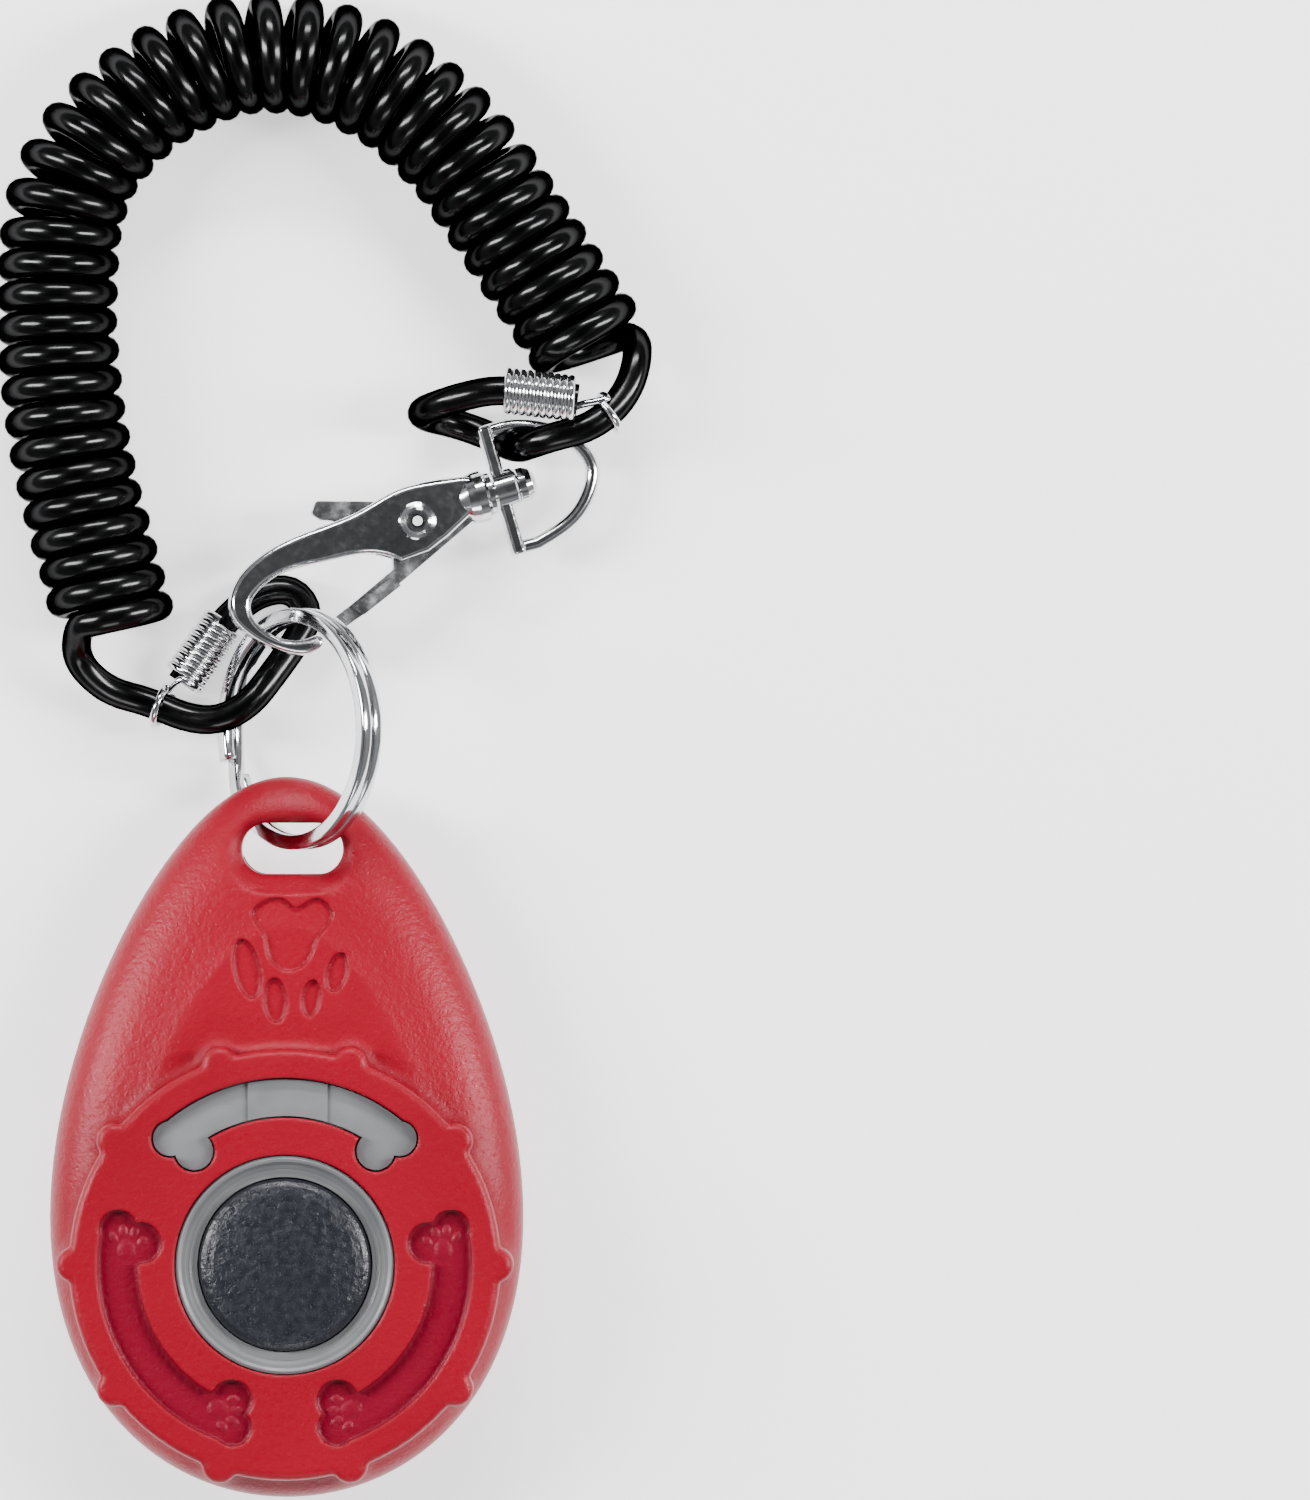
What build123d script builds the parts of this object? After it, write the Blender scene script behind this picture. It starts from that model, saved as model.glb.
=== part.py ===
"""Clicker trainer: an egg-shaped clicker with a split ring, a lobster clasp and a coiled wrist strap.

Millimetres. The origin is on the rear flat face, under the button's axis. +Z is the button's
axis, out of the front cover, and +Y points to the lanyard hole and the strap.
"""
from build123d import *
import os
from math import cos, sin, tan, pi, radians

os.makedirs("parts", exist_ok=True)

# Egg outline: x = half_width sin t (1 - taper cos t), y = mid + half cos t
EGG_HALF_WIDTH = 20.6
EGG_TAPER = 0.245
EGG_POINTS = 32
PARTING_Z = 8.0
# Levels of the shells: (z, width factor, lowest y, highest y)
FRONT_LEVELS = [(8.0, 1.0, -21.0, 43.4), (9.4, 0.985, -20.7, 43.0), (10.9, 0.93, -19.4, 40.8),
                (12.1, 0.82, -16.8, 36.0), (12.9, 0.66, -13.5, 30.0)]
REAR_LEVELS = [(8.0, 1.0, -21.0, 43.4), (7.0, 0.99, -20.8, 42.6), (5.6, 0.96, -20.1, 39.5),
               (3.4, 0.88, -18.2, 36.2), (1.4, 0.76, -15.6, 31.0), (0.0, 0.60, -12.6, 26.0)]
FRONT_CAVITY = [(8.0, 0.90, -19.0, 31.0), (10.0, 0.87, -18.2, 30.0), (11.3, 0.76, -15.4, 26.5)]
REAR_CAVITY = [(8.0, 0.90, -19.0, 31.0), (5.0, 0.85, -17.8, 30.0), (3.2, 0.78, -16.0, 28.0),
               (1.7, 0.66, -13.4, 24.5)]

# Platform round the button
PLATFORM_R = 19.2
PLATFORM_TOP = 15.5
PLATFORM_PLATE = 2.0
PLATFORM_CAVITY_R = 17.4
KNUCKLES = 10
KNUCKLE_R = 1.6
KNUCKLE_PCD_R = 18.75
RIM_FILLET = 0.7
BEZEL_BORE_R = 9.8

# Bone shapes, three round the button
BONE_INNER_R = 13.1
BONE_OUTER_R = 16.65
BONE_HALF_ANGLE = 39.0
BONE_LOBES = [(15.15, 42.2, 1.7), (12.95, 38.6, 1.85)]
BONE_DEPTH = 0.9
WINDOW_GAP = 0.15

# Lanyard hole and large paw print
HOLE_CENTRE = (0.55, 37.0)
HOLE_SIZE = (9.1, 4.6)
HOLE_FLARE = 1.2
PAW_DEPTH = 0.4
PAW_TOES = [(-3.4, 26.3, 1.15, 2.7, 12), (-0.9, 23.5, 1.0, 2.0, 4),
            (2.3, 23.7, 0.8, 1.65, -8), (4.6, 26.0, 0.9, 1.8, -14)]
PAW_PAD = [(0.5, 32.0), (-1.6, 32.5), (-3.0, 31.2), (-1.9, 29.3), (-1.5, 27.4), (0.3, 26.1),
           (2.2, 27.3), (3.0, 29.2), (4.2, 31.0), (2.6, 32.6)]

# Joining posts
POSTS = [(0.0, 26.0), (11.9, -12.3), (-11.9, -12.3)]
POST_R = 1.9
PIN_R = 0.97
SOCKET_R = 1.0

# Button, carrier and click plate
BUTTON_R = 7.65
BUTTON_TRAVEL = 1.2
BUTTON_EDGE_Z = 15.6
BUTTON_CROWN_Z = 16.0
CAP_BASE_Z = 13.0
FLANGE_R = 8.7
FLANGE_TOP = 12.15
FLANGE_T = 0.8
STEM_R = 2.0
CARRIER_BOTTOM = 12.2
CARRIER_TOP = 13.45
CARRIER_R = 17.15
CARRIER_BORE_R = 7.8
LEAF_HALF_WIDTH = 5.5
LEAF_T = 0.4
LEAF_SEAT_Z = 5.9
LEAF_CROWN_Z = 7.4
LEAF_FRONT_Y = -14.0
LEAF_BEND_Y = 10.5
LEAF_END_Y = 17.0
RIVET_Y = 13.9
RIVET_X = 3.0
RIVET_R = 0.9

# Split ring, two turns of flat wire
RING_INNER_R = 9.5
RING_OUTER_R = 10.8
RING_TURN_W = 1.1
RING_TURNS_GAP = 0.08
RING_CENTRE = (1.15, 47.7, 9.6)
RING_TILT = 51.0

# Lobster clasp, drawn in its own plane with +X along the swivel axis
CLASP_ORIGIN = (11.5, 66.25, 6.4)
CLASP_TURN = 16.0
CLASP_DIP = 7.5
CLASP_T = 3.0
SLOT_T = 1.7
GATE_T = 1.5
GATE_GAP = 0.25
GATE_OPENING = 20.0
GATE_SWEEP_STEPS = 4
GATE_RIVET_R = 0.75
GATE_RIVET_HEAD_R = 1.7
GATE_RIVET_BORE_R = 0.45
SWIVEL_Y = 0.6
SWIVEL_SHANK_R = 0.9
EYE_WIRE_R = 0.64

# Cord
CORD_R = 1.35
COIL_R = 5.5
CRIMP_WIRE_R = 0.35
CRIMP_TURNS = 10
CRIMP_LENGTH = 7.0


def egg_wire(z, width, low, high):
    """A closed egg outline at one height."""
    mid, half = (low + high) / 2, (high - low) / 2
    points = []
    for i in range(EGG_POINTS):
        t = 2 * pi * i / EGG_POINTS
        x = EGG_HALF_WIDTH * width * sin(t) * (1 - EGG_TAPER * cos(t))
        points.append(Vector(x, mid + half * cos(t), z))
    return Wire([Edge.make_spline(points, periodic=True)])


def egg_body(levels):
    """A smooth solid through the egg outlines of the given levels."""
    return Solid.make_loft([egg_wire(*level) for level in levels])


def block(sketch, low, high):
    """The sketch extruded between two heights."""
    return extrude(Pos(0, 0, low) * sketch, high - low)


def turned(points):
    """A solid of revolution about Z from a closed half profile in (r, z)."""
    profile = make_face(Polyline([(r, 0, z) for r, z in points], close=True))
    return revolve(profile, Axis.Z)


def hole_sketch(grow=0.0):
    return Pos(*HOLE_CENTRE) * SlotOverall(HOLE_SIZE[0] + 2 * grow, HOLE_SIZE[1] + 2 * grow)


def hole_flare(straight_z, mouth_z):
    """The lanyard hole's chamfered mouth, growing from one height to the other."""
    sections = [Pos(0, 0, straight_z) * hole_sketch(),
                Pos(0, 0, mouth_z) * hole_sketch(abs(mouth_z - straight_z))]
    return loft(Sketch() + [s.face() for s in sections])


def bone_sketch(angle, grow=0.0):
    """One curved bone, its middle at the given angle round the button."""
    ring = Circle(BONE_OUTER_R + grow) - Circle(BONE_INNER_R - grow)
    reach = 2 * BONE_OUTER_R
    a = radians(BONE_HALF_ANGLE)
    wedge = make_face(Polyline([(0, 0), (reach * cos(a), reach * sin(a)),
                                (reach * cos(a), -reach * sin(a))], close=True))
    bone = ring & wedge
    for radius, lobe_angle, lobe_r in BONE_LOBES:
        for side in (-1, 1):
            a = radians(side * lobe_angle)
            bone += Pos(radius * cos(a), radius * sin(a)) * Circle(lobe_r + grow)
    return Rot(0, 0, angle) * bone


def paw_sketch():
    """The large paw print: a heart-shaped pad and four toes."""
    paw = make_face(Spline(PAW_PAD, periodic=True))
    for x, y, rx, ry, lean in PAW_TOES:
        paw += Pos(x, y) * Rot(0, 0, lean) * Ellipse(rx, ry)
    return paw


def front_cover():
    outer = egg_body(FRONT_LEVELS)
    knuckled = Circle(PLATFORM_R)
    for i in range(KNUCKLES):
        a = 2 * pi * i / KNUCKLES
        knuckled += Pos(KNUCKLE_PCD_R * cos(a), KNUCKLE_PCD_R * sin(a)) * Circle(KNUCKLE_R)
    knuckled = fillet(knuckled.vertices(), 0.5)
    platform = block(knuckled, 10.0, PLATFORM_TOP)
    platform = fillet(platform.faces().sort_by(Axis.Z)[-1].edges(), RIM_FILLET)
    paw_tool = block(paw_sketch(), PARTING_Z, PLATFORM_TOP) - Pos(0, 0, -PAW_DEPTH) * outer
    cover = outer - egg_body(FRONT_CAVITY) - paw_tool
    cover += platform
    cover -= block(Circle(PLATFORM_CAVITY_R), PARTING_Z - 1, PLATFORM_TOP - PLATFORM_PLATE)
    for x, y in POSTS:
        post = Pos(x, y) * Circle(POST_R)
        cover += block(post, PARTING_Z, 12.0) & outer
        cover += block(Pos(x, y) * Circle(PIN_R), 4.6, PARTING_Z + 0.5)
    cover -= block(Circle(BEZEL_BORE_R), PARTING_Z, PLATFORM_TOP + 1)
    cover -= block(bone_sketch(90), PARTING_Z + 4, PLATFORM_TOP + 1)
    for angle in (210, 330):
        cover -= block(bone_sketch(angle), PLATFORM_TOP - BONE_DEPTH, PLATFORM_TOP + 1)
    cover -= block(hole_sketch(), PARTING_Z - 1, PLATFORM_TOP)
    cover -= hole_flare(10.6, 12.6)
    return cover


def rear_cover():
    outer = egg_body(REAR_LEVELS)
    cover = outer - egg_body(REAR_CAVITY)
    anvil = Pos(0, (LEAF_BEND_Y + LEAF_END_Y) / 2 + 0.5) * Rectangle(12.4, LEAF_END_Y - LEAF_BEND_Y)
    rest = Pos(0, LEAF_FRONT_Y - 0.2) * Rectangle(12.4, 2.0)
    cover += block(anvil, 1.0, LEAF_SEAT_Z) & outer
    cover += block(rest, 1.0, LEAF_SEAT_Z - 0.05) & outer
    for x, y in POSTS:
        cover += block(Pos(x, y) * Circle(POST_R), 1.0, PARTING_Z) & outer
    for x, y in POSTS:
        cover -= block(Pos(x, y) * Circle(SOCKET_R), 4.0, PARTING_Z + 1)
    for x in (-RIVET_X, RIVET_X):
        cover -= block(Pos(x, RIVET_Y) * Circle(RIVET_R + 0.02), 2.9, LEAF_SEAT_Z + 1)
    cover -= block(hole_sketch(), 0, PARTING_Z + 1)
    cover -= hole_flare(7.0, 4.3)
    return cover


def inner_carrier():
    dish = [(CARRIER_BORE_R, CARRIER_BOTTOM), (CARRIER_R, CARRIER_BOTTOM), (CARRIER_R, CARRIER_TOP),
            (9.7, CARRIER_TOP), (9.7, 15.2), (9.45, 15.35), (9.2, 15.2), (8.9, 14.75), (8.5, 14.4),
            (8.1, 14.25), (CARRIER_BORE_R, 14.2)]
    carrier = turned(dish)
    window = bone_sketch(90, -WINDOW_GAP)
    facet = window & Pos(0.25, BONE_INNER_R) * Rectangle(7.1, 12)
    carrier += block(window, CARRIER_TOP - 0.5, 14.5)
    carrier += block(facet, CARRIER_TOP - 0.5, 14.75)
    for x, y in POSTS:
        carrier -= block(Pos(x, y) * Circle(POST_R + 0.2), CARRIER_BOTTOM - 1, CARRIER_TOP + 1)
    return carrier


def button_cap():
    profile = [(0, CAP_BASE_Z), (BUTTON_R, CAP_BASE_Z), (BUTTON_R, 14.9), (7.45, 15.25),
               (7.05, 15.5), (6.3, 15.66), (4.5, 15.83), (2.2, 15.96), (0, BUTTON_CROWN_Z)]
    return turned(profile)


def button_plunger():
    flange_low = FLANGE_TOP - FLANGE_T
    stem_low = LEAF_CROWN_Z + 0.45
    profile = [(0, stem_low), (STEM_R - 0.4, stem_low), (STEM_R, stem_low + 0.4),
               (STEM_R, flange_low), (FLANGE_R, flange_low), (FLANGE_R, FLANGE_TOP),
               (BUTTON_R, FLANGE_TOP), (BUTTON_R, CAP_BASE_Z), (0, CAP_BASE_Z)]
    return turned(profile)


def click_plate():
    """The bowed leaf: one end riveted down, the other resting on its ledge."""
    mid_y = (LEAF_FRONT_Y + LEAF_BEND_Y) / 2
    seat, crown, t = LEAF_SEAT_Z, LEAF_CROWN_Z, LEAF_T
    edges = [ThreePointArc((0, LEAF_FRONT_Y, seat), (0, mid_y, crown - t), (0, LEAF_BEND_Y, seat)),
             Line((0, LEAF_BEND_Y, seat), (0, LEAF_END_Y, seat)),
             Line((0, LEAF_END_Y, seat), (0, LEAF_END_Y, seat + t)),
             Line((0, LEAF_END_Y, seat + t), (0, LEAF_BEND_Y, seat + t)),
             ThreePointArc((0, LEAF_BEND_Y, seat + t), (0, mid_y, crown), (0, LEAF_FRONT_Y, seat + t)),
             Line((0, LEAF_FRONT_Y, seat + t), (0, LEAF_FRONT_Y, seat))]
    leaf = extrude(make_face(edges), LEAF_HALF_WIDTH, both=True)
    for x in (-RIVET_X, RIVET_X):
        leaf -= block(Pos(x, RIVET_Y) * Circle(RIVET_R + 0.02), seat - 1, seat + 1)
    return leaf


def plate_rivets():
    seat = LEAF_SEAT_Z + LEAF_T
    shape = [(0, 3.0), (RIVET_R, 3.0), (RIVET_R, seat), (1.7, seat), (1.6, seat + 0.4),
             (0.9, seat + 0.75), (0, seat + 0.85)]
    return [Pos(x, RIVET_Y, 0) * turned(shape) for x in (-RIVET_X, RIVET_X)]


def ring_place():
    return Pos(*RING_CENTRE) * Rot(0, -RING_TILT, 0)


def split_ring():
    """Two flat turns lying on each other, joined by the web that stands for their contact."""
    half = RING_TURN_W + RING_TURNS_GAP / 2
    mid_r = (RING_INNER_R + RING_OUTER_R) / 2
    ring = Part()
    for side in (-1, 1):
        low = -half if side < 0 else RING_TURNS_GAP / 2
        turn = block(Circle(RING_OUTER_R) - Circle(RING_INNER_R), low, low + RING_TURN_W)
        ring += fillet(turn.edges(), 0.25)
    ring += block(Circle(mid_r + 0.3) - Circle(mid_r - 0.3), -0.3, 0.3)
    return ring_place() * ring


def clasp_place():
    return Pos(*CLASP_ORIGIN) * Rot(0, 0, CLASP_TURN) * Rot(0, CLASP_DIP, 0)


def gate_outline():
    """The gate in the clasp's plane: boss, bar, stepped nose and thumb tab."""
    boss = Circle(2.35)
    bar = make_face(Polyline([(4.6, -0.1), (5.0, -1.3), (-6.9, -6.7), (-9.5, -7.6), (-10.3, -7.4),
                              (-10.4, -6.8), (-9.9, -6.45), (-7.6, -5.55)], close=True))
    bar = fillet(bar.vertices(), 0.3)
    web = make_face(Polyline([(-2.2, 0.6), (1.9, 1.2), (4.6, -0.1), (0.0, -3.0), (-3.2, -3.7)],
                             close=True))
    tab = make_face(Polyline([(-1.0, 2.1), (-8.2, 4.2), (-8.9, 3.2), (-8.3, 2.5), (-1.6, 0.0)],
                             close=True))
    tab = fillet(tab.vertices().sort_by(Axis.X)[:3], 0.3)
    return boss + bar + web + tab


def clasp_body():
    hook = [(-11.5, -8.65), (-13.1, -8.7), (-14.5, -8.1), (-16.1, -6.95), (-17.6, -5.3),
            (-18.3, -3.75), (-18.05, -2.2), (-17.05, -0.75), (-15.1, 0.55), (-12.5, 1.4),
            (-8.75, 1.85), (-4.8, 2.3), (-1.0, 3.2), (2.4, 3.1), (5.2, 2.7)]
    shoulder = [(5.2, 2.7), (6.6, 2.1), (6.6, -0.9), (5.0, -0.7), (2.3, -2.1), (0.3, -2.9),
                (-2.4, -3.1)]
    throat = [(-2.4, -3.1), (-4.1, -1.9), (-6.0, -1.4), (-8.8, -1.25), (-12.5, -1.15),
              (-15.1, -1.95), (-16.45, -3.2), (-16.5, -4.3), (-15.85, -5.6), (-14.6, -6.8),
              (-13.1, -7.35), (-11.9, -7.35)]
    outline = make_face([Spline(hook), Polyline(shoulder), Spline(throat),
                         ThreePointArc((-11.9, -7.35), (-11.0, -7.95), (-11.5, -8.65))])
    body = extrude(outline, CLASP_T / 2, both=True)
    rims = [e for e in body.edges() if abs(abs(e.center().Z) - CLASP_T / 2) < 0.01]
    body = fillet(rims, 0.5)
    collar = turned([(0, 4.2), (1.5, 4.2), (2.1, 5.0), (2.3, 5.8), (2.3, 6.6), (1.9, 6.9),
                     (1.9, 7.35), (0, 7.35)])
    body += Pos(0, SWIVEL_Y, 0) * Rot(0, 90, 0) * collar
    slot = Sketch()
    for step in range(GATE_SWEEP_STEPS + 1):
        opening = -GATE_OPENING * step / GATE_SWEEP_STEPS
        slot += Rot(0, 0, opening) * offset(gate_outline(), GATE_GAP)
    body -= extrude(slot, SLOT_T / 2, both=True)
    body -= extrude(Circle(GATE_RIVET_R + 0.03), CLASP_T, both=True)
    body -= Pos(0, SWIVEL_Y, 0) * Rot(0, 90, 0) * block(Circle(SWIVEL_SHANK_R), 4.6, 8)
    return clasp_place() * body


def clasp_gate():
    gate = extrude(gate_outline(), GATE_T / 2, both=True)
    flange = make_face(Polyline([(-3.6, -4.25), (-3.0, -5.15), (-6.9, -6.75), (-7.7, -5.8)], close=True))
    gate += extrude(flange, 1.3, both=True)
    gate -= extrude(Circle(GATE_RIVET_R + 0.05), CLASP_T, both=True)
    gate -= block(Circle(1.75), 0.0, 1.0)
    return clasp_place() * gate


def gate_rivet():
    half = CLASP_T / 2
    points = [(GATE_RIVET_BORE_R, -half - 0.35), (1.3, -half - 0.35), (GATE_RIVET_HEAD_R, -half),
              (GATE_RIVET_R, -half), (GATE_RIVET_R, half), (GATE_RIVET_HEAD_R, half),
              (1.55, half + 0.3), (1.25, half + 0.42), (0.95, half + 0.25), (0.8, half + 0.42),
              (0.6, half + 0.42), (GATE_RIVET_BORE_R, half + 0.2)]
    return clasp_place() * turned(points)


def gate_spring():
    """The torsion spring in the gate's recess: two turns of wire and its leg."""
    coil = Part()
    for z in (0.2, 0.52):
        coil += Pos(0, 0, z) * Torus(1.25, 0.17)
    leg = Pos(1.2, 0.4, 0.36) * Box(0.25, 0.9, 0.3)
    return clasp_place() * (coil + leg)


def swivel_place():
    """The swivel's own frame: +Z along the swivel axis, from the clasp's collar outwards."""
    return clasp_place() * Pos(0, SWIVEL_Y, 0) * Rot(0, 90, 0)


def swivel_eye():
    """The D-shaped eye with its flat bar and barrel, drawn with the D in the clasp's plane."""
    side = [(0, 5.4, 8.3), (0, 5.4, 10.2), (0, 4.7, 12.6), (0, 3.0, 15.2)]
    back = [(0, -y, z) for x, y, z in reversed(side)]
    bow = Spline(side + [(0, 0, 16.7)] + back, tangents=[(0, 0, 1), (0, 0, -1)])
    start = Plane(origin=bow @ 0, z_dir=bow % 0)
    wire = sweep(start * Circle(EYE_WIRE_R), path=bow)
    bar = Pos(0, 0, 8.2) * Box(2.2, 12.0, 1.2)
    bar = fillet(bar.edges(), 0.4)
    barrel = turned([(0, 7.6), (1.75, 7.6), (1.75, 9.4), (1.45, 9.7), (0, 9.7)])
    eye = wire + bar + barrel
    eye -= block(Circle(SWIVEL_SHANK_R + 0.06), 5, 12)
    return swivel_place() * eye


def swivel_stud():
    shape = [(0, 4.65), (SWIVEL_SHANK_R, 4.65), (SWIVEL_SHANK_R, 9.8), (1.55, 9.8), (1.55, 10.4),
             (1.3, 10.95), (0.8, 11.3), (0, 11.4)]
    return swivel_place() * turned(shape)


def cord_path(points):
    """Straight runs joined by tangent arcs, each as large as its two runs allow."""
    stations = [Vector(*p) for p in points]
    radii = []
    for i in range(1, len(stations) - 1):
        before, after = stations[i] - stations[i - 1], stations[i + 1] - stations[i]
        half_turn = radians(before.get_angle(after)) / 2
        radii.append(0.45 * min(before.length, after.length) / tan(half_turn))
    return FilletPolyline(*stations, radius=radii), radii


def cord_tube(name, points, radius):
    """A round tube along a route, with a printed check of its radii and volume."""
    path, radii = cord_path(points)
    tube = sweep(Plane(origin=path @ 0, z_dir=path % 0) * Circle(radius), path=path)
    ratio = tube.volume / (pi * radius ** 2 * path.length)
    print(f"{name}: length {path.length:.1f}, volume ratio {ratio:.4f}, radii",
          [round(r, 1) for r in radii])
    return tube


COIL_ROUTE = [(-15.4, 57.0, 5.5), (-17.9, 65.8, 5.5), (-20.1, 75.5, 5.5), (-20.9, 86.4, 5.5),
              (-19.9, 96.9, 5.5), (-13.4, 104.7, 5.5), (-3.4, 109.0, 5.5), (6.6, 107.1, 5.5),
              (14.9, 100.6, 5.5), (20.2, 92.4, 5.5), (23.8, 87.2, 5.5), (27.5, 81.5, 5.5)]
RING_LOOP_ROUTE = [(-19.15, 55.935, 5.5), (-18.33, 53.05, 5.5), (-15.9, 51.0, 4.4), (-12.6, 50.2, 3.8),
                   (-9.2, 48.7, 4.3), (-6.2, 48.4, 5.0), (-3.4, 49.9, 5.0), (-1.5, 52.4, 3.9),
                   (0.5, 55.2, 2.6), (2.0, 58.0, 1.9), (0.4, 60.4, 1.8), (-2.7, 60.0, 1.9),
                   (-5.4, 57.8, 2.2), (-7.5, 55.0, 2.3), (-9.6, 51.8, 2.4)]
EYE_LOOP_ROUTE = [(30.3, 83.4, 5.5), (31.4, 80.9, 5.8), (30.7, 78.3, 6.6), (29.0, 76.0, 7.4),
                  (26.7, 74.5, 8.0), (24.1, 73.9, 8.2), (21.6, 73.1, 7.0), (20.5, 72.8, 3.9),
                  (18.0, 74.1, 1.6), (14.9, 75.2, 1.5), (12.3, 75.7, 2.9), (11.9, 76.1, 5.8),
                  (13.5, 76.7, 8.2), (16.1, 77.5, 9.5), (18.9, 78.0, 10.1), (22.6, 77.6, 10.2),
                  (26.1, 77.15, 10.2)]


def wire_piece(start, end):
    """A straight bit of the crimp's wire."""
    path = Edge.make_line(start, end)
    return sweep(Plane(origin=start, z_dir=end - start) * Circle(CRIMP_WIRE_R), path=path)


def crimp(route, strand_part):
    """A wound wire sleeve on the end of a route, and its end turn round the standing strand.

    strand_part is how far along the cord, as a fraction, the end turn holds the strand.
    """
    path, radii = cord_path(route)
    end = Vector(*route[-1])
    axis = (Vector(*route[-3]) - end).normalized()
    pitch = CRIMP_LENGTH / CRIMP_TURNS
    wound_r = CORD_R + CRIMP_WIRE_R
    edges = [Line((CORD_R, 0, 0), (CORD_R, 0, CRIMP_LENGTH)),
             Line((CORD_R, 0, CRIMP_LENGTH), (wound_r, 0, CRIMP_LENGTH))]
    for i in range(CRIMP_TURNS, 0, -1):
        high, low = i * pitch, (i - 1) * pitch
        crest = (wound_r + CRIMP_WIRE_R, 0, (high + low) / 2)
        edges.append(ThreePointArc((wound_r, 0, high), crest, (wound_r, 0, low)))
    edges.append(Line((wound_r, 0, 0), (CORD_R, 0, 0)))
    sleeve = Plane(origin=end, z_dir=axis) * revolve(make_face(edges), Axis.Z)
    at, along = path @ strand_part, (path % strand_part).normalized()
    turn = Plane(origin=at, z_dir=along) * Torus(wound_r + 0.02, CRIMP_WIRE_R)
    near = end - at
    near = (near - along * near.dot(along)).normalized()
    side = axis.cross(along).normalized()
    link = wire_piece(end + side * wound_r + axis * CRIMP_WIRE_R, at + near * (wound_r + 0.02))
    return sleeve + turn + link


def write(name, shape):
    """One STEP file for one sub-part."""
    solids = shape if isinstance(shape, list) else [shape]
    found = [solid for piece in solids for solid in piece.solids()]
    part = found[0] if len(found) == 1 else Compound(children=found)
    part.label = name
    export_step(part, f"parts/{name}.step")
    print(f"{name}: {len(found)} solid(s), {sum(s.volume for s in found):.1f} mm3")


if __name__ == "__main__":
    write("front_cover", front_cover())
    write("rear_cover", rear_cover())
    write("inner_carrier", inner_carrier())
    write("button_cap", button_cap())
    write("button_plunger", button_plunger())
    write("click_plate", click_plate())
    write("plate_rivets", plate_rivets())
    write("split_ring", split_ring())
    write("clasp_body", clasp_body())
    write("clasp_gate", clasp_gate())
    write("gate_rivet", gate_rivet())
    write("gate_spring", gate_spring())
    write("swivel_eye", swivel_eye())
    write("swivel_stud", swivel_stud())
    write("wrist_coil", cord_tube("wrist_coil", COIL_ROUTE, COIL_R))
    write("ring_end_loop", cord_tube("ring_end_loop", RING_LOOP_ROUTE, CORD_R))
    write("clasp_end_loop", cord_tube("clasp_end_loop", EYE_LOOP_ROUTE, CORD_R))
    write("ring_end_crimp", crimp(RING_LOOP_ROUTE, 0.24))
    write("clasp_end_crimp", crimp(EYE_LOOP_ROUTE, 0.2))
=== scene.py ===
"""Clicker trainer with a coiled wrist strap, seen from straight above on a pale floor."""
import math
import bpy
from mathutils import Vector, Matrix


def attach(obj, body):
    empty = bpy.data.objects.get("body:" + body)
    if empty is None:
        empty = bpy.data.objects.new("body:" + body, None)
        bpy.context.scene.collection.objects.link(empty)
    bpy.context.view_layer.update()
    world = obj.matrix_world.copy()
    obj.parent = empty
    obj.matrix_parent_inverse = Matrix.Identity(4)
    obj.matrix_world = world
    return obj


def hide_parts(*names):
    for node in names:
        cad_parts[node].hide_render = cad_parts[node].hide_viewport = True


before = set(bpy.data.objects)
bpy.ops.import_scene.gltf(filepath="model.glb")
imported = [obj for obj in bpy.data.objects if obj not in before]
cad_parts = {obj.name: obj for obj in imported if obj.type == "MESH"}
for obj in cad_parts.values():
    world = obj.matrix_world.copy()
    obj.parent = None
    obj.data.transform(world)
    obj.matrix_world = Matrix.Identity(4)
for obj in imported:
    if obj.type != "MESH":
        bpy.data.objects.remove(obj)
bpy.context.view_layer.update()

MM = 0.001

# Cord
CORD_D = 2.7 * MM
COIL_MEAN_R = 4.12 * MM
COIL_TURNS = 37
POINTS_PER_TURN = 16
# How the turns spread where the strap bends, and the most that they may
CROWDING = 0.6
MOST_CROWDING = 0.5
# How far the first and last turns lean; the middle ones stand square
END_LEAN = math.radians(9)
# How the turns differ in size: by how much, how fast along the coil, and from where
UNEVENNESS = ((0.012, 2.3, 0), (0.008, 5.1, 1))
ROUTE_RESOLUTION = 40

# Wire sleeves that hold the cord's loops shut
CRIMP_WIRE_R = 0.35 * MM
CRIMP_LENGTH = 7.0 * MM
CRIMP_TURNS = 10
CRIMP_POINTS_PER_TURN = 14
# The last turn goes round the standing strand, this far on from the loop's fourth point,
# and moves on by this many wire radii as it goes round
CRIMP_HOLD_POINT = 3
RING_CRIMP_HOLD = 0.35
EYE_CRIMP_HOLD = 0.05
CRIMP_HOLD_PITCH = 2.2

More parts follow.
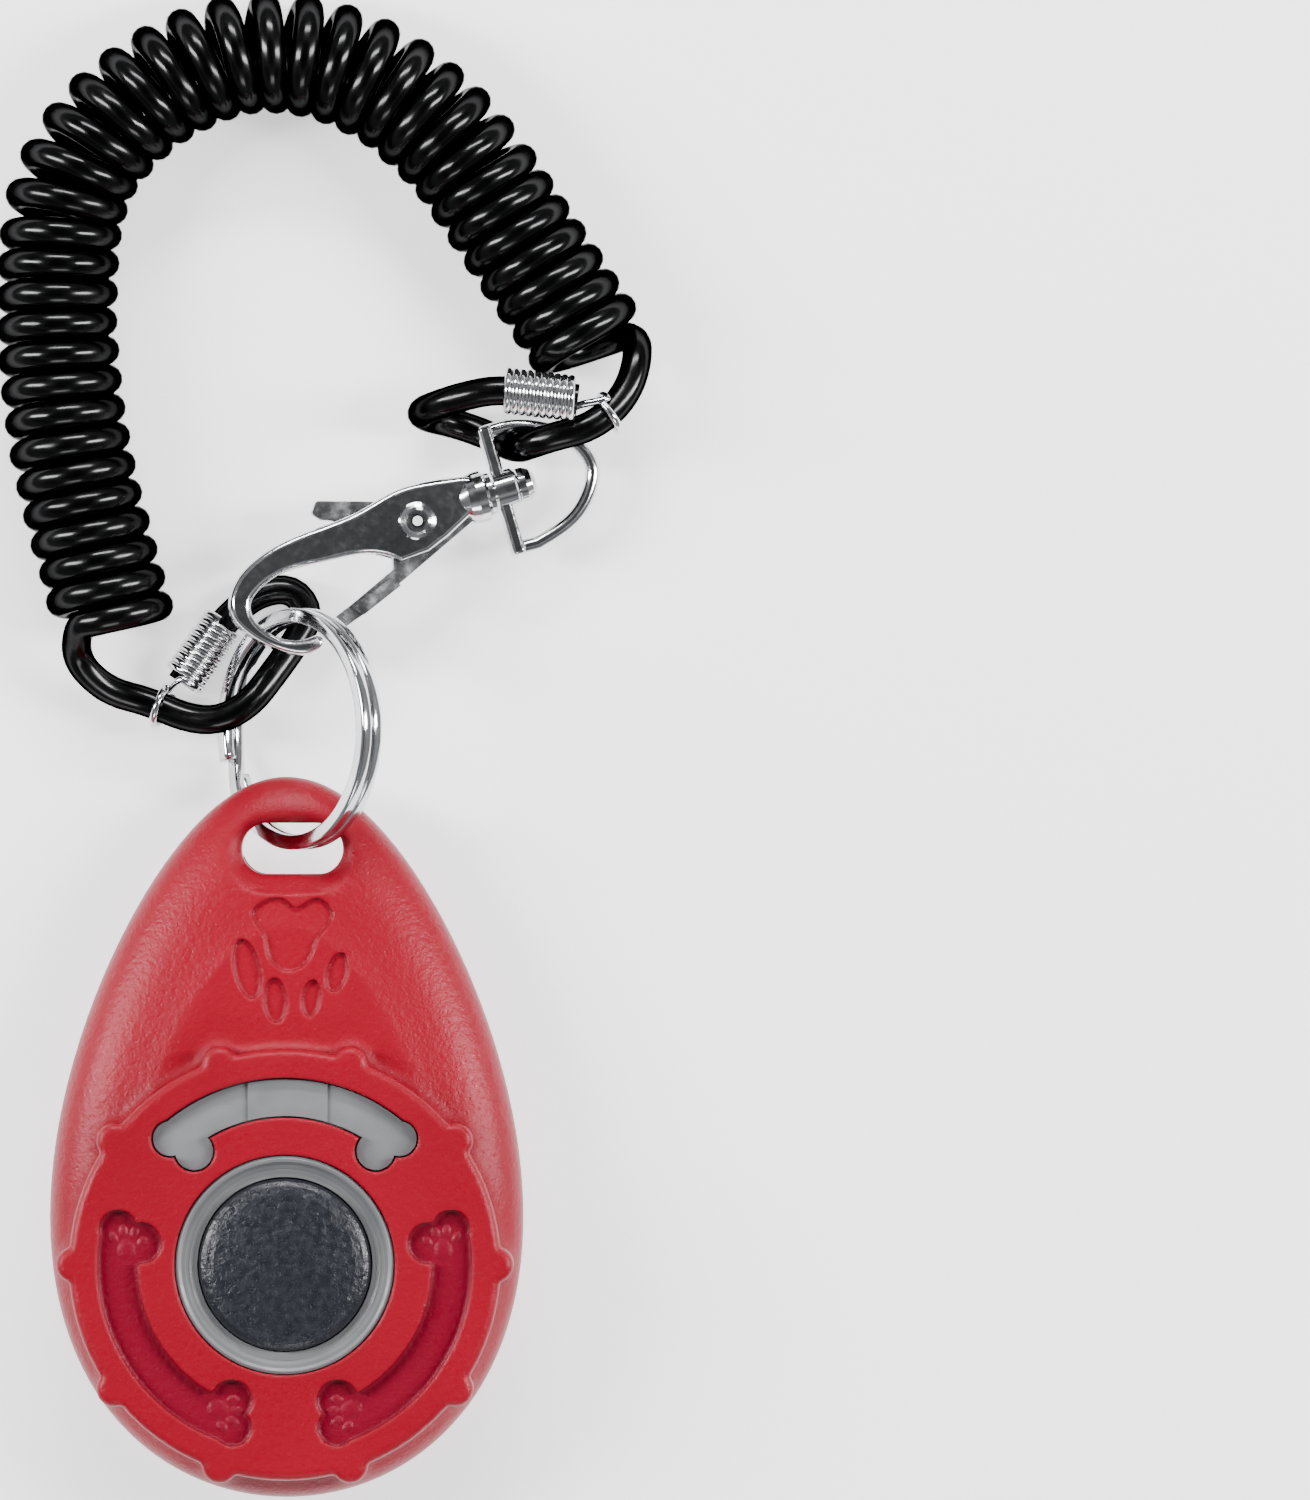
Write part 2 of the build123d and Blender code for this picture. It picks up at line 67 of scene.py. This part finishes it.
# The cord's routes, as the CAD tubes have them, in millimetres
COIL_ROUTE = [(-15.4, 57.0, 5.5), (-17.9, 65.8, 5.5), (-20.1, 75.5, 5.5), (-20.9, 86.4, 5.5),
              (-19.9, 96.9, 5.5), (-13.4, 104.7, 5.5), (-3.4, 109.0, 5.5), (6.6, 107.1, 5.5),
              (14.9, 100.6, 5.5), (20.2, 92.4, 5.5), (23.8, 87.2, 5.5), (27.5, 81.5, 5.5)]
RING_LOOP_ROUTE = [(-19.15, 55.935, 5.5), (-18.33, 53.05, 5.5), (-15.9, 51.0, 4.4), (-12.6, 50.2, 3.8),
                   (-9.2, 48.7, 4.3), (-6.2, 48.4, 5.0), (-3.4, 49.9, 5.0), (-1.5, 52.4, 3.9),
                   (0.5, 55.2, 2.6), (2.0, 58.0, 1.9), (0.4, 60.4, 1.8), (-2.7, 60.0, 1.9),
                   (-5.4, 57.8, 2.2), (-7.5, 55.0, 2.3), (-9.6, 51.8, 2.4)]
EYE_LOOP_ROUTE = [(30.3, 83.4, 5.5), (31.4, 80.9, 5.8), (30.7, 78.3, 6.6), (29.0, 76.0, 7.4),
                  (26.7, 74.5, 8.0), (24.1, 73.9, 8.2), (21.6, 73.1, 7.0), (20.5, 72.8, 3.9),
                  (18.0, 74.1, 1.6), (14.9, 75.2, 1.5), (12.3, 75.7, 2.9), (11.9, 76.1, 5.8),
                  (13.5, 76.7, 8.2), (16.1, 77.5, 9.5), (18.9, 78.0, 10.1), (22.6, 77.6, 10.2),
                  (26.1, 77.15, 10.2)]

# Where the loops rise into the coil's first and last turn, and the turn's points left out there
RING_JOIN = (-19.0, 54.9, 6.3)
EYE_JOIN = (31.3, 82.6, 4.0)
JOIN_SKIP = 2

# Split ring, two turns of flat wire
RING_CENTRE = Vector((1.15, 47.7, 9.6)) * MM
RING_TILT = math.radians(51.0)
RING_INNER_R = 9.5 * MM
RING_OUTER_R = 10.8 * MM
RING_TURN_W = 1.1 * MM
RING_WIRE_W = RING_TURN_W * 0.97
RING_TURN_GAP = RING_TURN_W * 1.02
RING_WIRE_CORNER = 0.24 * MM
RING_START = math.radians(205)
RING_TURNS = 2
RING_POINTS_PER_TURN = 120
# Part of a turn in which the wire steps to the other layer, and points left out at its end
RING_STEP = 0.09
RING_STEP_STEEPNESS = 6
RING_SHORT_BY = 3

# Small paw prints on the recess floors: ahead, beside, half width, half length in mm, and lean
PAW_R = 14.15 * MM
PAW_ANGLES = (math.radians(172.5), math.radians(247.5))
PAW_HEIGHT = 0.13 * MM
PAW_PAD = (-0.55, 0.0, 0.85, 1.05, 0.0)
PAW_TOES = ((0.35, -1.3, 0.42, 0.62, -0.5), (1.05, -0.5, 0.42, 0.66, -0.15),
            (1.05, 0.5, 0.42, 0.66, 0.15), (0.35, 1.3, 0.42, 0.62, 0.5))

# Recesses in the red platform, whose floors take a painted shade
RECESS_FLOOR_Z = 14.6 * MM
RECESS_FLOOR_MARGIN = 0.15 * MM
RECESS_RADII = (11.0 * MM, 17.6 * MM)

# Where the red shell's edges look soft, and where its fine detail keeps them crisp
SOFT_EDGE = 1.8 * MM
CRISP_EDGE = 0.55 * MM
PLATFORM_Z = 14.3 * MM
LARGE_PAW_Y = 27 * MM
LARGE_PAW_REACH = 7 * MM

# Camera and picture
PICTURE_CENTRE = Vector((32.94, 45.81, 0)) * MM
PICTURE_HEIGHT = 135.0 * MM
CAMERA_HEIGHT = 1.3
SENSOR = 36.0

# Studio: name, place, width, height in metres, and power in watts
LIGHTS_AIM = (0.01, 0.04, 0)
LIGHTS = (("left_softbox", (-0.55, 0.16, 0.46), 0.13, 0.42, 8.5),
          ("right_softbox", (0.58, 0.12, 0.46), 0.13, 0.42, 8.5),
          ("top_softbox", (0.02, 0.60, 0.42), 0.4, 0.09, 5.0),
          ("front_fill", (0.05, -0.62, 0.5), 0.35, 0.2, 1.6))
FLOOR_HALF = 2
SKY_STRENGTH = 0.8
SKY_STOPS = ((0.0, 0.35), (0.3, 0.45), (0.62, 0.12), (0.80, 0.5), (0.93, 0.10))


def srgb(r, g, b):
    """An 8-bit display colour as linear RGBA."""
    out = []
    for c in (r, g, b):
        c /= 255
        out.append(c / 12.92 if c <= 0.04045 else ((c + 0.055) / 1.055) ** 2.4)
    return (*out, 1.0)


def grey(value):
    """A colour as it is, or a number as that grey."""
    return value if hasattr(value, "__len__") else (value, value, value, 1)


def fill_ramp(ramp, stops):
    while len(ramp.elements) < len(stops):
        ramp.elements.new(0.5)
    for element, (at, colour) in zip(ramp.elements, stops):
        element.position = at
        element.color = colour


# ---------------------------------------------------------------- node materials

class Nodes:
    """Short calls for building one material's node tree."""

    def __init__(self, name):
        self.material = bpy.data.materials.new(name)
        self.material.use_nodes = True
        self.tree = self.material.node_tree
        self.shader = self.tree.nodes["Principled BSDF"]
        self.coords = self.tree.nodes.new("ShaderNodeTexCoord").outputs["Object"]

    def link(self, source, target):
        self.tree.links.new(source, target)

    def set(self, **values):
        for name, value in values.items():
            self.shader.inputs[name.replace("_", " ")].default_value = value

    def noise(self, scale, detail=2.0, rough=0.5, stretch=None):
        node = self.tree.nodes.new("ShaderNodeTexNoise")
        node.inputs["Scale"].default_value = scale
        node.inputs["Detail"].default_value = detail
        node.inputs["Roughness"].default_value = rough
        vector = self.coords
        if stretch:
            mapping = self.tree.nodes.new("ShaderNodeMapping")
            mapping.inputs["Scale"].default_value = stretch
            self.link(self.coords, mapping.inputs["Vector"])
            vector = mapping.outputs["Vector"]
        self.link(vector, node.inputs["Vector"])
        return node.outputs["Fac"]

    def cells(self, scale):
        node = self.tree.nodes.new("ShaderNodeTexVoronoi")
        node.inputs["Scale"].default_value = scale
        self.link(self.coords, node.inputs["Vector"])
        return node.outputs["Distance"]

    def ramp(self, source, stops):
        """Colours, or grey values, along the source."""
        node = self.tree.nodes.new("ShaderNodeValToRGB")
        fill_ramp(node.color_ramp, [(at, grey(value)) for at, value in stops])
        self.link(source, node.inputs["Fac"])
        return node.outputs["Color"]

    def math(self, kind, a, b=None):
        node = self.tree.nodes.new("ShaderNodeMath")
        node.operation = kind
        for socket, value in zip(node.inputs, (a, b)):
            if value is None:
                continue
            if isinstance(value, (int, float)):
                socket.default_value = value
            else:
                self.link(value, socket)
        return node.outputs["Value"]

    def mix(self, fac, a, b):
        node = self.tree.nodes.new("ShaderNodeMix")
        node.data_type = "RGBA"
        for name, value in (("Factor", fac), ("A", a), ("B", b)):
            socket = [s for s in node.inputs if s.name == name and s.enabled][0]
            if isinstance(value, (int, float, tuple)):
                socket.default_value = value
            else:
                self.link(value, socket)
        return [s for s in node.outputs if s.enabled][0]

    def split(self):
        """The object coordinates, one by one."""
        node = self.tree.nodes.new("ShaderNodeSeparateXYZ")
        self.link(self.coords, node.inputs["Vector"])
        return node.outputs

    def softened(self, radius):
        """Normals that run smoothly over edges and creases within the radius."""
        node = self.tree.nodes.new("ShaderNodeBevel")
        node.samples = 8
        self.link(radius, node.inputs["Radius"])
        return node.outputs["Normal"]

    def length(self, a, b):
        squares = [self.math("MULTIPLY", value, value) for value in (a, b)]
        return self.math("SQRT", self.math("ADD", *squares))

    def between(self, value, low, high):
        """1 where the value lies between the two, 0 elsewhere."""
        return self.math("MULTIPLY", self.math("LESS_THAN", value, high),
                         self.math("GREATER_THAN", value, low))

    def bump(self, height, strength, distance, below=None):
        """A bump on the surface, or on the normals of another bump below it."""
        node = self.tree.nodes.new("ShaderNodeBump")
        node.inputs["Strength"].default_value = strength
        node.inputs["Distance"].default_value = distance
        self.link(height, node.inputs["Height"])
        if below is not None:
            self.link(below, node.inputs["Normal"])
        self.link(node.outputs["Normal"], self.shader.inputs["Normal"])
        return node.outputs["Normal"]

    def colour(self, source):
        self.link(source, self.shader.inputs["Base Color"])

    def roughness(self, source):
        self.link(source, self.shader.inputs["Roughness"])


def red_plastic():
    """Satin red moulding: spark-eroded grain that glints, and recess floors painted a darker red as
    shade.
    """
    n = Nodes("red_moulded_plastic")
    n.set(IOR=1.5, Specular_Tint=(0.72, 0.38, 0.42, 1))
    base = n.ramp(n.noise(55, 3, 0.55),
                  [(0.3, (0.19, 0.0, 0.0075, 1)), (0.72, (0.23, 0.0, 0.0105, 1))])
    x, y, z = n.split()
    # Painted shade: a thin band at the recess floors' height, within the recess radii, takes a darker
    # red
    floor = n.between(z, RECESS_FLOOR_Z - RECESS_FLOOR_MARGIN, RECESS_FLOOR_Z + RECESS_FLOOR_MARGIN)
    shaded_recess = n.between(n.length(x, y), *RECESS_RADII)
    n.colour(n.mix(n.math("MULTIPLY", floor, shaded_recess), base, (0.145, 0.0, 0.011, 1)))
    glints = n.ramp(n.cells(2400), [(0.15, 0.3), (0.45, 0.4)])
    n.roughness(n.mix(n.ramp(n.noise(120, 2), [(0.45, 0.0), (0.6, 1.0)]), grey(0.4), glints))
    from_paw = n.length(x, n.math("SUBTRACT", y, LARGE_PAW_Y))
    crisp = n.math("MAXIMUM", n.math("LESS_THAN", from_paw, LARGE_PAW_REACH),
                   n.math("GREATER_THAN", z, PLATFORM_Z))
    soft = n.softened(n.math("SUBTRACT", SOFT_EDGE,
                             n.math("MULTIPLY", crisp, SOFT_EDGE - CRISP_EDGE)))
    fine = n.bump(n.noise(1700, 3, 0.6), 0.7, 0.0001, soft)
    pits = n.ramp(n.cells(2100), [(0.0, 0.0), (0.35, 1.0)])
    n.bump(pits, 0.3, 0.00006, fine)
    return n.material


def grey_plastic():
    """Light grey inner moulding."""
    n = Nodes("grey_inner_plastic")
    n.set(IOR=1.48)
    n.colour(n.ramp(n.noise(160, 4),
                    [(0.3, (0.11, 0.115, 0.12, 1)), (0.7, (0.15, 0.155, 0.16, 1))]))
    n.roughness(n.ramp(n.noise(800, 2), [(0.3, 0.34), (0.7, 0.5)]))
    n.bump(n.noise(2200, 3), 0.2, 0.00004)
    return n.material


def button_rubber():
    """Dark slate elastomer with a leather grain that sparkles."""
    n = Nodes("dark_leather_grain_button")
    n.set(IOR=1.5)
    n.colour(n.ramp(n.noise(1100, 3),
                    [(0.3, (0.007, 0.008, 0.012, 1)), (0.7, (0.010, 0.011, 0.016, 1))]))
    n.roughness(n.ramp(n.noise(1500, 3), [(0.3, 0.22), (0.7, 0.4)]))
    leather = n.bump(n.noise(1400, 4, 0.6), 0.9, 0.00016)
    n.bump(n.noise(3800, 3), 0.25, 0.00005, leather)
    return n.material


def bright_metal(name, low, high, rough_low, rough_high, brush=None, bump=0.04, ripple=320):
    """Plated metal with faint tone changes, fine scratches and a slightly uneven surface."""
    n = Nodes(name)
    n.set(Metallic=1.0)
    n.colour(n.ramp(n.noise(180, 4), [(0.3, srgb(*low)), (0.7, srgb(*high))]))
    scratch = n.noise(1400, 5, 0.65, brush)
    n.roughness(n.ramp(scratch, [(0.35, rough_low), (0.75, rough_high)]))
    wave = n.bump(n.noise(ripple, 1), bump, 0.001)
    n.bump(scratch, 0.04, 0.00004, wave)
    return n.material


def black_cord():
    """Glossy black extruded plastic, mirror-like but dark right out to its edges."""
    n = Nodes("glossy_black_cord")
    n.set(Metallic=1.0, Specular_Tint=(0.1, 0.1, 0.1, 1))
    n.colour(n.ramp(n.noise(220, 3),
                    [(0.3, (0.019, 0.019, 0.0195, 1)), (0.7, (0.028, 0.028, 0.0285, 1))]))
    n.roughness(n.ramp(n.noise(700, 3), [(0.3, 0.14), (0.75, 0.26)]))
    n.bump(n.noise(420, 3), 0.12, 0.00012)
    return n.material


def floor_material():
    """Matt pale surface, lit a little from within so that it stays near white."""
    n = Nodes("pale_floor")
    n.colour(n.ramp(n.noise(3, 2), [(0.3, 0.86), (0.7, 0.88)]))
    n.set(Roughness=0.9, Emission_Color=grey(1), Emission_Strength=0.9, Specular_IOR_Level=0.1)
    return n.material


def paint(node, material):
    """Every slot of a CAD node takes the material."""
    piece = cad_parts[node]
    if not piece.data.materials:
        piece.data.materials.append(material)
    for index in range(len(piece.data.materials)):
        piece.data.materials[index] = material


# ---------------------------------------------------------------- curves and sweeps

def metres(route):
    """A route in millimetres as vectors in metres."""
    return [Vector(p) * MM for p in route]


def spline_reach(points_per_turn):
    """How far out a circle's control points lie, for its spline to have radius 1."""
    return 2 / (1 + math.cos(2 * math.pi / points_per_turn))


def spline_curve(name, points, bevel, resolution, bevel_resolution):
    """A round wire or cord along one open NURBS spline."""
    data = bpy.data.curves.new(name, "CURVE")
    data.dimensions = "3D"
    data.resolution_u = resolution
    spline = data.splines.new("NURBS")
    spline.points.add(len(points) - 1)
    for target, point in zip(spline.points, points):
        target.co = (*point, 1)
    spline.order_u = 3
    spline.use_endpoint_u = True
    data.bevel_depth = bevel
    data.bevel_resolution = bevel_resolution
    data.use_fill_caps = True
    piece = bpy.data.objects.new(name, data)
    bpy.context.scene.collection.objects.link(piece)
    return piece


def line_points(route):
    """Points along the smooth line that a route gives."""
    piece = spline_curve("route_line", metres(route), 0, ROUTE_RESOLUTION, 0)
    bpy.context.view_layer.update()
    mesh = bpy.data.meshes.new_from_object(piece)
    found = [v.co.copy() for v in mesh.vertices]
    bpy.data.meshes.remove(mesh)
    data = piece.data
    bpy.data.objects.remove(piece)
    bpy.data.curves.remove(data)
    return found


def bend_of(line, i):
    """Signed curvature of a flat line at one of its points, positive to the left."""
    a, b, c = line[max(i - 1, 0)], line[i], line[min(i + 1, len(line) - 1)]
    before, after = b - a, c - b
    if before.length == 0 or after.length == 0:
        return 0.0
    turn = math.atan2(before.x * after.y - before.y * after.x, before.dot(after))
    return turn / ((before.length + after.length) / 2)


def coil_points():
    """The curly stretch, its turns a little apart on the outside of the strap's bend."""
    line = line_points(COIL_ROUTE)
    phase = [0.0]
    for i in range(1, len(line)):
        step = (line[i] - line[i - 1]).length
        crowd = min(CROWDING * abs(bend_of(line, i)) * COIL_MEAN_R, MOST_CROWDING)
        phase.append(phase[-1] + step * (1 - crowd))
    total = phase[-1]
    count = COIL_TURNS * POINTS_PER_TURN
    points, k = [], 0
    for j in range(1, count + 1):
        want = total * j / count
        while phase[k + 1] < want and k < len(line) - 2:
            k += 1
        centre = line[k].lerp(line[k + 1], (want - phase[k]) / (phase[k + 1] - phase[k]))
        along = (line[min(k + 2, len(line) - 1)] - line[max(k - 1, 0)]).normalized()
        side = Vector((-along.y, along.x, 0))
        angle = 2 * math.pi * j / POINTS_PER_TURN
        turn = j / POINTS_PER_TURN
        uneven = sum(part * math.sin(turn * rate + shift) for part, rate, shift in UNEVENNESS)
        reach = COIL_MEAN_R * spline_reach(POINTS_PER_TURN) * (1 + min(uneven, 0))
        lean = math.tan(END_LEAN * abs(math.cos(math.pi * j / count)))
        point = centre + reach * (side * math.cos(angle) + Vector((0, 0, 1)) * math.sin(angle))
        points.append(point + along * lean * reach * math.cos(angle))
    return points


def wrist_cord():
    """The whole cord: ring-end loop, coil and clasp-end loop on one line."""
    ring_loop, eye_loop = metres(RING_LOOP_ROUTE), metres(EYE_LOOP_ROUTE)
    ring_join, eye_join = metres((RING_JOIN, EYE_JOIN))
    turns = coil_points()[JOIN_SKIP - 1:-JOIN_SKIP]
    points = [*reversed(ring_loop[1:]), ring_join, *turns, eye_join, *eye_loop[1:]]
    piece = spline_curve("wrist_cord", points, CORD_D / 2, 4, 5)
    piece.data.materials.append(black_cord())
    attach(piece, "clasp")
    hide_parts("wrist_coil", "ring_end_loop", "clasp_end_loop")
    return piece


def crimp(name, route, hold, node, material):
    """One bright wire wound on the cord's returned end, its last turn round the standing strand."""
    points = metres(route)
    end, before = points[-1], points[-3]
    axis = (before - end).normalized()
    across = axis.orthogonal().normalized()
    other = axis.cross(across)
    held, after = points[CRIMP_HOLD_POINT:CRIMP_HOLD_POINT + 2]
    at = held.lerp(after, hold)
    along = (after - held).normalized()
    near = end - at
    near = (near - along * near.dot(along)).normalized()
    side = along.cross(near)
    steps = CRIMP_POINTS_PER_TURN
    reach = (CORD_D / 2 + CRIMP_WIRE_R) * spline_reach(steps)
    start_angle = math.atan2((at - end).dot(other), (at - end).dot(across))
    wire = []
    for j in range(CRIMP_TURNS * steps, -1, -1):
        angle = start_angle + 2 * math.pi * j / steps
        height = CRIMP_WIRE_R + (CRIMP_LENGTH - 2 * CRIMP_WIRE_R) * j / (CRIMP_TURNS * steps)
        wire.append(end + axis * height + (across * math.cos(angle) + other * math.sin(angle)) * reach)
    for j in range(steps + 1):
        angle = 2 * math.pi * (j - 0.5) / steps
        drift = along * CRIMP_WIRE_R * CRIMP_HOLD_PITCH * (j / steps - 0.5)
        wire.append(at + drift + (near * math.cos(angle) + side * math.sin(angle)) * reach)
    piece = spline_curve(name, wire, CRIMP_WIRE_R, 3, 3)
    piece.data.materials.append(material)
    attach(piece, "clasp")
    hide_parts(node)
    return piece


# ---------------------------------------------------------------- meshes

def mesh_piece(name, vertices, faces, material):
    """A smooth-shaded mesh object in the scene."""
    mesh = bpy.data.meshes.new(name)
    mesh.from_pydata([tuple(v) for v in vertices], [], faces)
    mesh.validate()
    for polygon in mesh.polygons:
        polygon.use_smooth = True
    mesh.materials.append(material)
    piece = bpy.data.objects.new(name, mesh)
    bpy.context.scene.collection.objects.link(piece)
    return piece


def rounded_section(width, height, corner, steps=4):
    """Points round a rectangle with round corners, in its own plane."""
    points = []
    for quarter in range(4):
        cx = (width / 2 - corner) * (1 if quarter in (0, 3) else -1)
        cy = (height / 2 - corner) * (1 if quarter in (0, 1) else -1)
        for j in range(steps):
            a = math.pi / 2 * (quarter + j / (steps - 1))
            points.append((cx + corner * math.cos(a), cy + corner * math.sin(a)))
    return points


def split_ring(material):
    """Two full turns of flat wire that step over each other, as one open band."""
    section = rounded_section(RING_OUTER_R - RING_INNER_R, RING_WIRE_W, RING_WIRE_CORNER)
    mid_r = (RING_OUTER_R + RING_INNER_R) / 2
    tilt = Matrix.Rotation(-RING_TILT, 4, "Y")
    count = RING_TURNS * RING_POINTS_PER_TURN - RING_SHORT_BY
    vertices = []
    for i in range(count + 1):
        turn = i / RING_POINTS_PER_TURN
        angle = RING_START + 2 * math.pi * turn
        lift = 1 / (1 + math.exp(-RING_STEP_STEEPNESS * (turn - 1) / RING_STEP))
        height = RING_TURN_GAP * (lift - 0.5)
        radial = Vector((math.cos(angle), math.sin(angle), 0))
        for u, v in section:
            local = radial * (mid_r + u) + Vector((0, 0, height + v))
            vertices.append(RING_CENTRE + tilt @ local)
    size = len(section)
    faces = []
    for i in range(count):
        for j in range(size):
            a, b = i * size + j, i * size + (j + 1) % size
            faces.append((a, b, b + size, a + size))
    faces.append(tuple(range(size - 1, -1, -1)))
    faces.append(tuple(count * size + j for j in range(size)))
    piece = mesh_piece("split_ring_wire", vertices, faces, material)
    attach(piece, "ring")
    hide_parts("split_ring")


def turned(x, y, angle, z=0):
    """A flat point turned about the Z axis, at a height."""
    return Vector((x * math.cos(angle) - y * math.sin(angle),
                   x * math.sin(angle) + y * math.cos(angle), z))


def dome(centre, reach_x, reach_y, lean, height, rings=5, spokes=20):
    """Vertices and faces of one low raised oval."""
    vertices = [centre + Vector((0, 0, height))]
    for i in range(1, rings + 1):
        out = i / rings
        for j in range(spokes):
            a = 2 * math.pi * j / spokes
            vertices.append(centre + turned(reach_x * out * math.cos(a), reach_y * out * math.sin(a),
                                            lean, height * (1 - out ** 3)))
    faces = [(0, 1 + j, 1 + (j + 1) % spokes) for j in range(spokes)]
    for i in range(rings - 1):
        for j in range(spokes):
            a, b = 1 + i * spokes + j, 1 + i * spokes + (j + 1) % spokes
            faces.append((a, a + spokes, b + spokes, b))
    return vertices, faces


def recess_paw(name, angle, turn, material):
    """A small raised paw print on a recess floor, its toes away from the recess's middle."""
    place = Vector((PAW_R * math.cos(angle), PAW_R * math.sin(angle), RECESS_FLOOR_Z))
    toes_way = angle + turn * math.pi / 2
    vertices, faces = [], []
    for ahead, beside, half_width, half_length, lean in (PAW_PAD, *PAW_TOES):
        centre = place + turned(ahead, beside, toes_way) * MM
        found, ovals = dome(centre, half_length * MM, half_width * MM, toes_way + lean, PAW_HEIGHT)
        start = len(vertices)
        vertices += found
        faces += [tuple(start + k for k in face) for face in ovals]
    piece = mesh_piece(name, vertices, faces, material)
    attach(piece, "clicker")


# ---------------------------------------------------------------- studio

def area_light(name, place, width, height, power):
    """A softbox turned to the middle of the object."""
    data = bpy.data.lights.new(name, "AREA")
    data.shape = "RECTANGLE"
    data.size, data.size_y = width, height
    data.energy = power
    lamp = bpy.data.objects.new(name, data)
    bpy.context.scene.collection.objects.link(lamp)
    lamp.location = place
    aim = Vector(LIGHTS_AIM) - Vector(place)
    lamp.rotation_euler = aim.to_track_quat("-Z", "Y").to_euler()


def studio():
    """Floor, sky and lights."""
    corners = [(x * FLOOR_HALF, y * FLOOR_HALF, 0) for x, y in ((-1, -1), (1, -1), (1, 1), (-1, 1))]
    mesh_piece("floor", corners, [(0, 1, 2, 3)], floor_material())
    sky()
    for light in LIGHTS:
        area_light(*light)


def sky():
    """A dim dome, darkest overhead, that metal and gloss reflect."""
    world = bpy.data.worlds.new("studio")
    bpy.context.scene.world = world
    world.use_nodes = True
    tree = world.node_tree
    coords = tree.nodes.new("ShaderNodeTexCoord")
    split = tree.nodes.new("ShaderNodeSeparateXYZ")
    ramp = tree.nodes.new("ShaderNodeValToRGB")
    fill_ramp(ramp.color_ramp,
              [(at, (value * 0.97, value, value * 1.04, 1)) for at, value in SKY_STOPS])
    tree.links.new(coords.outputs["Generated"], split.inputs["Vector"])
    tree.links.new(split.outputs["Z"], ramp.inputs["Fac"])
    tree.links.new(ramp.outputs["Color"], tree.nodes["Background"].inputs["Color"])
    tree.nodes["Background"].inputs["Strength"].default_value = SKY_STRENGTH


def camera():
    """Straight above the picture's middle, high enough to look nearly parallel."""
    data = bpy.data.cameras.new("camera")
    data.sensor_width = SENSOR
    data.lens = SENSOR * CAMERA_HEIGHT / PICTURE_HEIGHT
    data.clip_start, data.clip_end = 0.05, 20
    eye = bpy.data.objects.new("camera", data)
    bpy.context.scene.collection.objects.link(eye)
    eye.location = PICTURE_CENTRE + Vector((0, 0, CAMERA_HEIGHT))
    bpy.context.scene.camera = eye


# ---------------------------------------------------------------- the scene

camera()
cord = wrist_cord()
wire_metal = bright_metal("bright_crimp_wire", (196, 196, 198), (226, 226, 228), 0.08, 0.2)
ring_crimp = crimp("ring_end_wire_crimp", RING_LOOP_ROUTE, RING_CRIMP_HOLD, "ring_end_crimp",
                   wire_metal)
eye_crimp = crimp("clasp_end_wire_crimp", EYE_LOOP_ROUTE, EYE_CRIMP_HOLD, "clasp_end_crimp",
                  wire_metal)
split_ring(bright_metal("nickel_ring", (190, 190, 192), (222, 222, 225), 0.06, 0.16))

shell = red_plastic()
grey_inner = grey_plastic()
chrome = bright_metal("polished_clasp_plate", (186, 186, 188), (224, 224, 226), 0.08, 0.2,
                      bump=0.14, ripple=200)
satin_nickel = bright_metal("satin_gate_nickel", (140, 140, 143), (205, 205, 208), 0.2, 0.34,
                            bump=0.4, ripple=300)
spring_steel = bright_metal("rolled_spring_steel", (120, 122, 126), (150, 152, 156), 0.2, 0.4,
                            brush=(1, 12, 1), bump=0.1)
for material, nodes in ((shell, ("front_cover", "rear_cover")),
                        (grey_inner, ("inner_carrier", "button_plunger")),
                        (button_rubber(), ("button_cap",)),
                        (chrome, ("clasp_body", "gate_rivet", "swivel_eye", "swivel_stud")),
                        (satin_nickel, ("clasp_gate",)),
                        (spring_steel, ("click_plate", "plate_rivets", "gate_spring"))):
    for node in nodes:
        paint(node, material)
for number, (paw_angle, turn) in enumerate(zip(PAW_ANGLES, (-1, 1)), 1):
    recess_paw(f"left_recess_paw_{number}", paw_angle, turn, shell)
    recess_paw(f"right_recess_paw_{number}", math.pi - paw_angle, -turn, shell)
studio()
